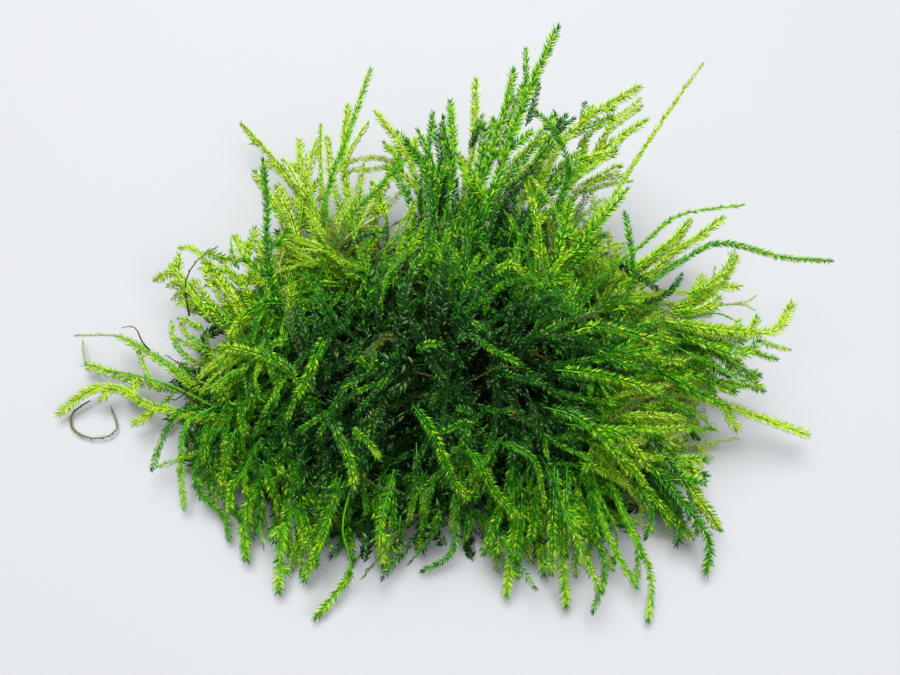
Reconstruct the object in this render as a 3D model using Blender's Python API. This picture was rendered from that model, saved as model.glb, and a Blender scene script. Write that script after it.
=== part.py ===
"""A loose, wet clump of water moss lying on a flat surface.

A low tangle of short shoots carries long feathery shoots that lean out of it on all sides. The
tangle is one soft solid that reaches the tips of its short shoots, cut flat where it rests. Each
long shoot is a tapered tube as wide as its leaves spread, along its own route.

Units: the tables are in millimetres, the scene in metres. +Z is up, the origin is at the centre
of the clump's base, and +Y points to the side where the long shoots stand highest.
"""

import math

import bmesh
import bpy
from mathutils import Matrix, Vector
from mathutils.bvhtree import BVHTree

COLLECTION = "moss_clump"
TANGLE = "inner_shoots"
MM = 0.001

# Driving dimensions of the tangle, mm.
TANGLE_HEART = (0, -5, 6)
TANGLE_FINENESS = 4
TANGLE_ROUNDING = 3
# Each tuft of short shoots: the middle of its base x, y, then how far it reaches in x, y and z.
TUFTS = {
    "crown": (3, -6, 28, 21, 29),
    "left": (-24, -8, 17, 17, 19),
    "front_left": (-13, -17, 19, 13, 18),
    "front_right": (16, -17, 19, 14, 20),
    "right": (25, -5, 16, 15, 21),
    "back_right": (12, 10, 19, 14, 23),
    "back_left": (-14, 9, 20, 14, 19),
}

# Long shoots: how far the leaves spread from the stem, where the shoot starts and at its tip, mm.
SPREAD = {
    "feathery": (1.25, 0.5),
    "slender": (0.8, 0.4),
    "stalk": (0.5, 0.35),
}
GAP = 0.35  # between a shoot and the tangle, mm
TUBE_POINTS = 11
TUBE_SIDES_SETTING = 1  # six sides
ROUTE_STEP = 0.25  # mm

# Colour, roughness of each finish.
FINISHES = {
    "deep_green": ((0.015, 0.075, 0.012), 0.35),
    "leaf_green": ((0.035, 0.20, 0.015), 0.38),
    "lime": ((0.25, 0.45, 0.03), 0.42),
    "old_brown": ((0.045, 0.035, 0.012), 0.5),
}

# Each long shoot: name, kind, finish, and its route from its root to its tip in mm.
SHOOTS = [
    # left
    ("shoot_left_upper", "stalk", "leaf_green",
     [(-30, -10, 9), (-36, -9, 10), (-43, -5, 11), (-50.5, -0.5, 8), (-59, 1.5, 4)]),
    ("shoot_left_curl", "stalk", "leaf_green",
     [(-34, -12, 7), (-41, -8.5, 7), (-49, -5.5, 5), (-54, -4, 3), (-57.5, -2, 2), (-59, 2, 1)]),
    ("shoot_left_long", "feathery", "lime",
     [(-32, -15, 6), (-41, -12, 6), (-45, -11, 5.5), (-50, -8, 4.5), (-55, -7.5, 3.5), (-60, -11, 2)]),
    ("stalk_left_hook", "stalk", "old_brown",
     [(-56, -8.5, 1), (-58.5, -10.5, 0.8), (-58, -13, 0.8), (-55.5, -14.5, 0.8), (-52.5, -14.5, 0.8),
      (-51, -13, 0.8), (-52.5, -9.5, 0.8)]),
    ("shoot_upper_left_arch", "feathery", "lime",
     [(-33, 0, 8), (-38, 5, 11), (-42, 9, 11), (-46.5, 10, 7)]),
    ("shoot_upper_left_pale", "slender", "lime",
     [(-30, 5, 8), (-35, 8, 12), (-38.5, 11.5, 14), (-41.5, 13, 12)]),
    ("shoot_upper_left_short", "feathery", "lime",
     [(-26, 6, 9), (-31, 11, 12), (-33, 15, 12)]),
    # front left
    ("shoot_front_left_edge", "slender", "leaf_green",
     [(-34, -12, 8), (-38, -15, 8), (-39, -20.5, 4.5), (-38.5, -26, 2)]),
    ("shoot_front_left_bent", "slender", "deep_green",
     [(-31, -15, 8), (-36, -20, 7), (-35.5, -24.5, 4), (-32.5, -27, 2), (-31.5, -30.5, 1.5)]),
    ("shoot_front_left_1", "feathery", "leaf_green",
     [(-25, -20, 7), (-29, -27, 4.5), (-28.5, -33.5, 2)]),
    ("shoot_front_left_2", "feathery", "leaf_green",
     [(-20, -22, 8), (-23, -31, 5), (-23.5, -38, 2)]),
    ("shoot_front_left_3", "feathery", "leaf_green",
     [(-15, -22, 9), (-17.5, -31, 6), (-20, -36.5, 2)]),
    ("shoot_front_left_hook", "feathery", "leaf_green",
     [(-12, -22, 11), (-14, -30, 9), (-13, -35, 4), (-15, -38, 2.5), (-18, -41.5, 1.5)]),
    # front
    ("shoot_front_1", "feathery", "leaf_green",
     [(-7, -22, 9), (-9, -30, 6), (-8.5, -34.5, 2)]),
    ("shoot_front_2", "slender", "leaf_green",
     [(-3, -22, 8), (-3, -29, 5), (-4, -32, 2)]),
    ("shoot_front_curl", "slender", "deep_green",
     [(3, -22, 9), (2, -29, 6), (1, -33, 3), (-3, -35, 1.5)]),
    ("shoot_front_3", "feathery", "leaf_green",
     [(10, -22, 10), (10, -30, 7), (9, -38.5, 2)]),
    ("shoot_front_4", "feathery", "leaf_green",
     [(12.5, -23, 9), (14, -31, 4), (14.5, -35.5, 2)]),
    ("shoot_front_5", "feathery", "leaf_green",
     [(16, -23, 12), (16.5, -32, 8), (17.5, -40, 2)]),
    ("shoot_front_6", "slender", "leaf_green",
     [(19, -23, 8), (21, -31, 4), (21, -34, 2)]),
    # front right
    ("shoot_front_right_1", "slender", "leaf_green",
     [(20, -22, 10), (23.5, -32, 7.5), (27.5, -37.5, 3)]),
    ("shoot_front_right_long", "slender", "leaf_green",
     [(22, -20, 10), (26.5, -31, 8), (29.5, -36, 4), (29, -42, 1.5)]),
    ("shoot_front_right_hook", "feathery", "deep_green",
     [(27, -18, 10), (34, -27, 9), (38, -31, 5), (38, -35.5, 2)]),
    ("shoot_front_right_2", "feathery", "leaf_green",
     [(29, -17, 9), (35.5, -24, 8), (40, -29.5, 4)]),
    ("shoot_front_right_3", "slender", "leaf_green",
     [(27, -20, 6), (33.5, -26.5, 4), (36.5, -30.5, 2)]),
    # right
    ("shoot_right_low", "slender", "leaf_green",
     [(30, -13, 9), (37, -15.5, 8), (40.5, -15, 6.5)]),
    ("shoot_right_low_long", "feathery", "lime",
     [(30, -8, 9), (37, -11, 10), (45, -13, 8), (55, -15.5, 5)]),
    ("shoot_right_1", "feathery", "leaf_green",
     [(30, -8, 12.5), (38, -9.5, 12.5), (45, -9.5, 9.5)]),
    ("shoot_right_2", "feathery", "leaf_green",
     [(32, -5, 13.5), (41, -6, 13.5), (48, -9.5, 8)]),
    ("shoot_right_3", "slender", "leaf_green",
     [(33, -4.5, 16), (41, -6, 16.5), (48.5, -7, 14)]),
    ("shoot_right_curved_up", "feathery", "lime",
     [(32, -2.5, 17.5), (40, -4.5, 18.5), (47, -4.5, 18.5), (49.5, -1, 20)]),
    ("shoot_right_thin", "stalk", "leaf_green",
     [(34, 0, 10), (42, 2.5, 10), (49, 0, 7)]),
    ("shoot_right_pale", "feathery", "lime",
     [(34, 1, 12), (41, 4.5, 13.5), (45, 10, 14)]),
    ("shoot_right_long", "slender", "leaf_green",
     [(30, 5, 13), (36, 9, 14), (42, 11.5, 16), (51, 9, 16), (60, 10, 13)]),
    ("shoot_right_far", "feathery", "lime",
     [(25, 8, 9), (33, 11.5, 10), (40, 15, 11), (44.5, 18.5, 12)]),
    ("shoot_right_curve", "slender", "leaf_green",
     [(22, 4, 17), (29, 8.5, 20), (34.5, 12.5, 22), (44.5, 15, 21)]),
    ("shoot_right_thin_up", "slender", "deep_green",
     [(24, -1, 18), (26.5, 1, 23), (26, 6, 26), (25.5, 9.5, 27)]),
    # back right
    ("shoot_back_right_1", "feathery", "leaf_green",
     [(17, 4, 20), (21, 8, 25), (25.5, 12, 29)]),
    ("shoot_back_right_long", "slender", "lime",
     [(18, 12, 13), (25, 17.5, 17), (30, 24, 21), (36, 32, 25), (40, 37.5, 26)]),
    ("shoot_back_right_2", "feathery", "lime",
     [(16, 16, 15), (22.5, 24.5, 19), (31, 29, 23)]),
    ("shoot_back_right_3", "feathery", "lime",
     [(13, 17, 17), (19.5, 27.5, 22), (29.5, 32, 27)]),
    ("shoot_back_dark", "slender", "deep_green",
     [(16, 12, 20), (18.5, 19, 24), (16, 24, 27.5), (13, 27, 28)]),
    # back
    ("shoot_back_tallest", "feathery", "leaf_green",
     [(4, 8, 18), (9, 20, 26), (12.5, 28, 31), (16.5, 36, 35)]),
    ("shoot_back_1", "feathery", "leaf_green",
     [(3, 12, 18), (8, 24, 25), (10.5, 33.5, 29)]),
    ("shoot_back_2", "feathery", "lime",
     [(2, 15, 15), (4.5, 26, 20), (5, 36, 24)]),
    ("shoot_back_3", "feathery", "leaf_green",
     [(0, 14, 17), (1.5, 25, 20.5), (1, 33.5, 22)]),
    ("shoot_back_4", "slender", "deep_green",
     [(-2, 8, 17), (-2.5, 18, 24), (-1.5, 25.5, 29)]),
    ("shoot_back_5", "feathery", "lime",
     [(-3, 17, 12), (-5.5, 27.5, 15), (-11, 35.5, 17)]),
    # back left
    ("shoot_back_left_dark", "slender", "deep_green",
     [(-19, 5, 15), (-15, 11.5, 20), (-10, 16, 23), (-5.5, 19.5, 26)]),
    ("shoot_back_left_long", "slender", "leaf_green",
     [(-19, 9, 14), (-17.5, 18, 20), (-14.5, 25, 24), (-11, 34.5, 28)]),
    ("shoot_back_left_1", "feathery", "lime",
     [(-14, 16, 9), (-16.5, 28, 12), (-16, 38.5, 15)]),
    ("shoot_back_left_2", "feathery", "lime",
     [(-18, 15, 10), (-20, 26, 13), (-20.5, 35, 14)]),
    ("shoot_back_left_3", "feathery", "lime",
     [(-20.5, 14, 9), (-23, 25, 12), (-24, 33, 13)]),
    ("shoot_back_left_far", "feathery", "lime",
     [(-19, 14, 6), (-25, 27, 8), (-36, 42, 6)]),
    ("shoot_back_left_upright", "feathery", "deep_green",
     [(-24, -1, 12), (-26, 7, 18), (-26, 14, 22), (-26.5, 20, 25)]),
]


def smooth_route(points, step):
    """Points every step or so on a smooth curve that passes through the given points."""
    knots = [Vector(point) for point in points]
    ends = [2 * knots[0] - knots[1], *knots, 2 * knots[-1] - knots[-2]]
    route = []
    for before, start, end, after in zip(ends, ends[1:], ends[2:], ends[3:]):
        count = max(2, round((end - start).length / step))
        leave = (end - before) / 2
        arrive = (after - start) / 2
        for index in range(count):
            t = index / count
            route.append(
                (2 * t**3 - 3 * t**2 + 1) * start
                + (t**3 - 2 * t**2 + t) * leave
                + (3 * t**2 - 2 * t**3) * end
                + (t**3 - t**2) * arrive
            )
    route.append(knots[-1])
    return route


def spaced(route, count):
    """The route again with just count points at equal distances."""
    lengths = [0.0]
    for start, end in zip(route, route[1:]):
        lengths.append(lengths[-1] + (end - start).length)
    points = []
    place = 0
    for index in range(count):
        target = lengths[-1] * index / (count - 1)
        while place < len(route) - 2 and lengths[place + 1] < target:
            place += 1
        share = (target - lengths[place]) / (lengths[place + 1] - lengths[place])
        points.append(route[place].lerp(route[place + 1], share))
    return points


def reach_of_tufts(direction):
    """How far the tufts reach from the tangle's heart in this direction, mm."""
    farthest = 0.0
    for x, y, wide, deep, high in TUFTS.values():
        sides = Vector((wide, deep, high))
        start = Vector(TANGLE_HEART) - Vector((x, y, 0))
        start = Vector(a / b for a, b in zip(start, sides))
        run = Vector(a / b for a, b in zip(direction, sides))
        half = start.dot(run)
        inside = half * half - run.length_squared * (start.length_squared - 1)
        if inside > 0:
            farthest = max(farthest, (math.sqrt(inside) - half) / run.length_squared)
    return farthest


def make_tangle(collection):
    """The soft lobed mass that the short shoots fill, cut flat at the surface it rests on."""
    shape = bmesh.new()
    bmesh.ops.create_icosphere(shape, subdivisions=TANGLE_FINENESS, radius=1.0)
    for vert in shape.verts:
        direction = vert.co.normalized()
        vert.co = Vector(TANGLE_HEART) + direction * reach_of_tufts(direction)
    for _ in range(TANGLE_ROUNDING):
        bmesh.ops.smooth_vert(
            shape, verts=shape.verts, factor=0.5, use_axis_x=True, use_axis_y=True, use_axis_z=True
        )
    everything = [*shape.verts, *shape.edges, *shape.faces]
    cut = bmesh.ops.bisect_plane(
        shape, geom=everything, plane_co=(0, 0, 0), plane_no=(0, 0, 1), clear_inner=True
    )
    rim = [edge for edge in cut["geom_cut"] if isinstance(edge, bmesh.types.BMEdge)]
    bmesh.ops.contextual_create(shape, geom=rim)
    bmesh.ops.recalc_face_normals(shape, faces=shape.faces)
    surface = BVHTree.FromBMesh(shape)
    bmesh.ops.transform(shape, matrix=Matrix.Scale(MM, 4), verts=shape.verts)
    mesh = bpy.data.meshes.new(TANGLE)
    shape.to_mesh(mesh)
    shape.free()
    mesh.shade_smooth()
    mesh.set_sharp_from_angle(angle=math.radians(50))
    tangle = bpy.data.objects.new(TANGLE, mesh)
    collection.objects.link(tangle)
    return tangle, surface


def outside(route, spread, surface):
    """The end of the route that is clear of the tangle by the gap and the shoot's own spread."""
    clear = 0
    for index, point in enumerate(route):
        nearest, normal, _, distance = surface.find_nearest(point)
        if (point - nearest).dot(normal) < 0 or distance < spread + GAP:
            clear = index + 1
    return route[clear:]


def make_shoot(name, kind, route, surface, collection):
    """A tapered six-sided tube along the part of the route outside the tangle."""
    wide, narrow = SPREAD[kind]
    points = spaced(outside(smooth_route(route, ROUTE_STEP), wide, surface), TUBE_POINTS)
    curve = bpy.data.curves.new(name, "CURVE")
    curve.dimensions = "3D"
    curve.bevel_depth = MM
    curve.bevel_resolution = TUBE_SIDES_SETTING
    curve.use_fill_caps = True
    curve.twist_mode = "MINIMUM"
    spline = curve.splines.new("POLY")
    spline.points.add(len(points) - 1)
    for index, point in enumerate(points):
        along = index / (len(points) - 1)
        spline.points[index].co = (*(point * MM), 1)
        spline.points[index].radius = wide + (narrow - wide) * along**2
    shoot = bpy.data.objects.new(name, curve)
    collection.objects.link(shoot)
    return shoot


def give_finish(piece, finish):
    colour, roughness = FINISHES[finish]
    material = bpy.data.materials.new(piece.name)
    material.use_nodes = True
    shader = material.node_tree.nodes["Principled BSDF"]
    shader.inputs["Base Color"].default_value = (*colour, 1)
    shader.inputs["Roughness"].default_value = roughness
    shader.inputs["Metallic"].default_value = 0
    piece.data.materials.append(material)


def main():
    for old in list(bpy.data.objects):
        bpy.data.objects.remove(old)
    collection = bpy.data.collections.new(COLLECTION)
    bpy.context.scene.collection.children.link(collection)
    tangle, surface = make_tangle(collection)
    give_finish(tangle, "deep_green")
    for name, kind, finish, route in SHOOTS:
        shoot = make_shoot(name, kind, route, surface, collection)
        give_finish(shoot, finish)


main()
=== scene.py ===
"""A loose, wet clump of water moss on a plain pale floor.

Every shoot is made the same way: a route, a thin stalk along the route, and small keeled leaves
in two rows, with a few more above and below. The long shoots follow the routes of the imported
solids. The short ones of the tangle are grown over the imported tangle's own surface, like thatch
that parts along its crown. Growing is done in millimetres, and meshes are written in metres.
"""

import math

import bmesh
import bpy
import numpy as np
from mathutils import Matrix, Vector, noise
from mathutils.bvhtree import BVHTree


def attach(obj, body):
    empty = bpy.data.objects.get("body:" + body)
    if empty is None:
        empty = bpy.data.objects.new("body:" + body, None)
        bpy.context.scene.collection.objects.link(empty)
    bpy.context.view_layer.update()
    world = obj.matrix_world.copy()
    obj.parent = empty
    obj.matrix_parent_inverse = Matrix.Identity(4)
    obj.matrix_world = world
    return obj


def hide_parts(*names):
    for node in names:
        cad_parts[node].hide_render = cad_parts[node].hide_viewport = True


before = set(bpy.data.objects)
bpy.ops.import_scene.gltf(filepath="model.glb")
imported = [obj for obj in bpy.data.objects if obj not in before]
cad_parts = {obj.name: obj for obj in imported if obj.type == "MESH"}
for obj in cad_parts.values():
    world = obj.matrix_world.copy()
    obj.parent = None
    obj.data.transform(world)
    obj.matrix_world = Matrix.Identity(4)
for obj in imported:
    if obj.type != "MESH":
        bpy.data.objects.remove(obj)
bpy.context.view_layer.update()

MM = 0.001
SEED = 45
SAMPLES = 14  # points kept along each shoot's route
KNOT_STEPS = 12  # points on the smooth curve between two points of a route
FLOOR_CLEARANCE = 0.35  # the lowest that a route runs above the floor, mm
LEAF_CLEARANCE = 0.03  # the lowest that a leaf hangs above the floor, mm

# ---------------- long shoots

# How each kind of shoot is leafed: leaf length in mm, leaf width as a share of its length, angle of
# the leaves to the stalk in degrees, distance between leaves in a row and stalk radius at the root
# in mm, and how many leaves grow above and below for each leaf of a row.
KINDS = {
    "feathery": dict(leaf=1.12, width=0.28, spread=62, pitch=0.25, stalk=0.16, extra=0.5),
    "slender": dict(leaf=0.84, width=0.30, spread=54, pitch=0.25, stalk=0.15, extra=0.5),
    "stalk": dict(leaf=0.52, width=0.32, spread=34, pitch=0.40, stalk=0.14, extra=0.2),
    "short": dict(leaf=0.90, width=0.25, spread=62, pitch=0.25, stalk=0.12, extra=0.2),
    "fine": dict(leaf=0.72, width=0.28, spread=58, pitch=0.24, stalk=0.11, extra=0.2),
    "low": dict(leaf=1.50, width=0.42, spread=55, pitch=0.50, stalk=0.13, extra=0.2),
    "old": dict(leaf=0.45, width=0.34, spread=30, pitch=1.6, stalk=0.18, extra=0.0),
}
TINTS = {"old_brown": 0.21, "deep_green": 0.62, "leaf_green": 0.72, "lime": 0.89}

# Each long shoot: its node, kind, finish, and its route from its root to its tip in mm.
SHOOTS = [
    # left
    ("shoot_left_upper", "stalk", "leaf_green",
     [(-30, -10, 9), (-36, -9, 10), (-43, -5, 11), (-50.5, -0.5, 8), (-59, 1.5, 4)]),
    ("shoot_left_curl", "stalk", "leaf_green",
     [(-34, -12, 7), (-41, -8.5, 7), (-49, -5.5, 5), (-54, -4, 3), (-57.5, -2, 2), (-59, 2, 1)]),
    ("shoot_left_long", "feathery", "lime",
     [(-32, -15, 6), (-41, -12, 6), (-45, -11, 5.5), (-50, -8, 4.5), (-55, -7.5, 3.5), (-60, -11, 2)]),
    ("stalk_left_hook", "stalk", "old_brown",
     [(-56, -8.5, 1), (-58.5, -10.5, 0.8), (-58, -13, 0.8), (-55.5, -14.5, 0.8), (-52.5, -14.5, 0.8),
      (-51, -13, 0.8), (-52.5, -9.5, 0.8)]),
    ("shoot_upper_left_arch", "feathery", "lime",
     [(-33, 0, 8), (-38, 5, 11), (-42, 9, 11), (-46.5, 10, 7)]),
    ("shoot_upper_left_pale", "slender", "lime",
     [(-30, 5, 8), (-35, 8, 12), (-38.5, 11.5, 14), (-41.5, 13, 12)]),
    ("shoot_upper_left_short", "feathery", "lime", [(-26, 6, 9), (-31, 11, 12), (-33, 15, 12)]),
    # front left
    ("shoot_front_left_edge", "slender", "leaf_green",
     [(-34, -12, 8), (-38, -15, 8), (-39, -20.5, 4.5), (-38.5, -26, 2)]),
    ("shoot_front_left_bent", "slender", "deep_green",
     [(-31, -15, 8), (-36, -20, 7), (-35.5, -24.5, 4), (-32.5, -27, 2), (-31.5, -30.5, 1.5)]),
    ("shoot_front_left_1", "feathery", "leaf_green", [(-25, -20, 7), (-29, -27, 4.5), (-28.5, -33.5, 2)]),
    ("shoot_front_left_2", "feathery", "leaf_green", [(-20, -22, 8), (-23, -31, 5), (-23.5, -38, 2)]),
    ("shoot_front_left_3", "feathery", "leaf_green", [(-15, -22, 9), (-17.5, -31, 6), (-20, -36.5, 2)]),
    ("shoot_front_left_hook", "feathery", "leaf_green",
     [(-12, -22, 11), (-14, -30, 9), (-13, -35, 4), (-15, -38, 2.5), (-18, -41.5, 1.5)]),
    # front
    ("shoot_front_1", "feathery", "leaf_green", [(-7, -22, 9), (-9, -30, 6), (-8.5, -34.5, 2)]),
    ("shoot_front_2", "slender", "leaf_green", [(-3, -22, 8), (-3, -29, 5), (-4, -32, 2)]),
    ("shoot_front_curl", "slender", "deep_green", [(3, -22, 9), (2, -29, 6), (1, -33, 3), (-3, -35, 1.5)]),
    ("shoot_front_3", "feathery", "leaf_green", [(10, -22, 10), (10, -30, 7), (9, -38.5, 2)]),
    ("shoot_front_4", "feathery", "leaf_green", [(12.5, -23, 9), (14, -31, 4), (14.5, -35.5, 2)]),
    ("shoot_front_5", "feathery", "leaf_green", [(16, -23, 12), (16.5, -32, 8), (17.5, -40, 2)]),
    ("shoot_front_6", "slender", "leaf_green", [(19, -23, 8), (21, -31, 4), (21, -34, 2)]),
    # front right
    ("shoot_front_right_1", "slender", "leaf_green", [(20, -22, 10), (23.5, -32, 7.5), (27.5, -37.5, 3)]),
    ("shoot_front_right_long", "slender", "leaf_green",
     [(22, -20, 10), (26.5, -31, 8), (29.5, -36, 4), (29, -42, 1.5)]),
    ("shoot_front_right_hook", "feathery", "deep_green",
     [(27, -18, 10), (34, -27, 9), (38, -31, 5), (38, -35.5, 2)]),
    ("shoot_front_right_2", "feathery", "leaf_green", [(29, -17, 9), (35.5, -24, 8), (40, -29.5, 4)]),
    ("shoot_front_right_3", "slender", "leaf_green", [(27, -20, 6), (33.5, -26.5, 4), (36.5, -30.5, 2)]),
    # right
    ("shoot_right_low", "slender", "leaf_green", [(30, -13, 9), (37, -15.5, 8), (40.5, -15, 6.5)]),
    ("shoot_right_low_long", "feathery", "lime",
     [(30, -8, 9), (37, -11, 10), (45, -13, 8), (55, -15.5, 5)]),
    ("shoot_right_1", "feathery", "leaf_green", [(30, -8, 12.5), (38, -9.5, 12.5), (45, -9.5, 9.5)]),
    ("shoot_right_2", "feathery", "leaf_green", [(32, -5, 13.5), (41, -6, 13.5), (48, -9.5, 8)]),
    ("shoot_right_3", "slender", "leaf_green", [(33, -4.5, 16), (41, -6, 16.5), (48.5, -7, 14)]),
    ("shoot_right_curved_up", "feathery", "lime",
     [(32, -2.5, 17.5), (40, -4.5, 18.5), (47, -4.5, 18.5), (49.5, -1, 20)]),
    ("shoot_right_thin", "stalk", "leaf_green", [(34, 0, 10), (42, 2.5, 10), (49, 0, 7)]),
    ("shoot_right_pale", "feathery", "lime", [(34, 1, 12), (41, 4.5, 13.5), (45, 10, 14)]),
    ("shoot_right_long", "slender", "leaf_green",
     [(30, 5, 13), (36, 9, 14), (42, 11.5, 16), (51, 9, 16), (60, 10, 13)]),
    ("shoot_right_far", "feathery", "lime", [(25, 8, 9), (33, 11.5, 10), (40, 15, 11), (44.5, 18.5, 12)]),
    ("shoot_right_curve", "slender", "leaf_green",
     [(22, 4, 17), (29, 8.5, 20), (34.5, 12.5, 22), (44.5, 15, 21)]),
    ("shoot_right_thin_up", "slender", "deep_green",
     [(24, -1, 18), (26.5, 1, 23), (26, 6, 26), (25.5, 9.5, 27)]),
    # back right
    ("shoot_back_right_1", "feathery", "leaf_green", [(17, 4, 20), (21, 8, 25), (25.5, 12, 29)]),
    ("shoot_back_right_long", "slender", "lime",
     [(18, 12, 13), (25, 17.5, 17), (30, 24, 21), (36, 32, 25), (40, 37.5, 26)]),
    ("shoot_back_right_2", "feathery", "lime", [(16, 16, 15), (22.5, 24.5, 19), (31, 29, 23)]),
    ("shoot_back_right_3", "feathery", "lime", [(13, 17, 17), (19.5, 27.5, 22), (29.5, 32, 27)]),
    ("shoot_back_dark", "slender", "deep_green",
     [(16, 12, 20), (18.5, 19, 24), (16, 24, 27.5), (13, 27, 28)]),
    # back
    ("shoot_back_tallest", "feathery", "leaf_green",
     [(4, 8, 18), (9, 20, 26), (12.5, 28, 31), (16.5, 36, 35)]),
    ("shoot_back_1", "feathery", "leaf_green", [(3, 12, 18), (8, 24, 25), (10.5, 33.5, 29)]),
    ("shoot_back_2", "feathery", "lime", [(2, 15, 15), (4.5, 26, 20), (5, 36, 24)]),
    ("shoot_back_3", "feathery", "leaf_green", [(0, 14, 17), (1.5, 25, 20.5), (1, 33.5, 22)]),
    ("shoot_back_4", "slender", "deep_green", [(-2, 8, 17), (-2.5, 18, 24), (-1.5, 25.5, 29)]),
    ("shoot_back_5", "feathery", "lime", [(-3, 17, 12), (-5.5, 27.5, 15), (-11, 35.5, 17)]),
    # back left
    ("shoot_back_left_dark", "slender", "deep_green",
     [(-19, 5, 15), (-15, 11.5, 20), (-10, 16, 23), (-5.5, 19.5, 26)]),
    ("shoot_back_left_long", "slender", "leaf_green",
     [(-19, 9, 14), (-17.5, 18, 20), (-14.5, 25, 24), (-11, 34.5, 28)]),
    ("shoot_back_left_1", "feathery", "lime", [(-14, 16, 9), (-16.5, 28, 12), (-16, 38.5, 15)]),
    ("shoot_back_left_2", "feathery", "lime", [(-18, 15, 10), (-20, 26, 13), (-20.5, 35, 14)]),
    ("shoot_back_left_3", "feathery", "lime", [(-20.5, 14, 9), (-23, 25, 12), (-24, 33, 13)]),
    ("shoot_back_left_far", "feathery", "lime", [(-19, 14, 6), (-25, 27, 8), (-36, 42, 6)]),
    ("shoot_back_left_upright", "feathery", "deep_green",
     [(-24, -1, 12), (-26, 7, 18), (-26, 14, 22), (-26.5, 20, 25)]),
]

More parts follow.
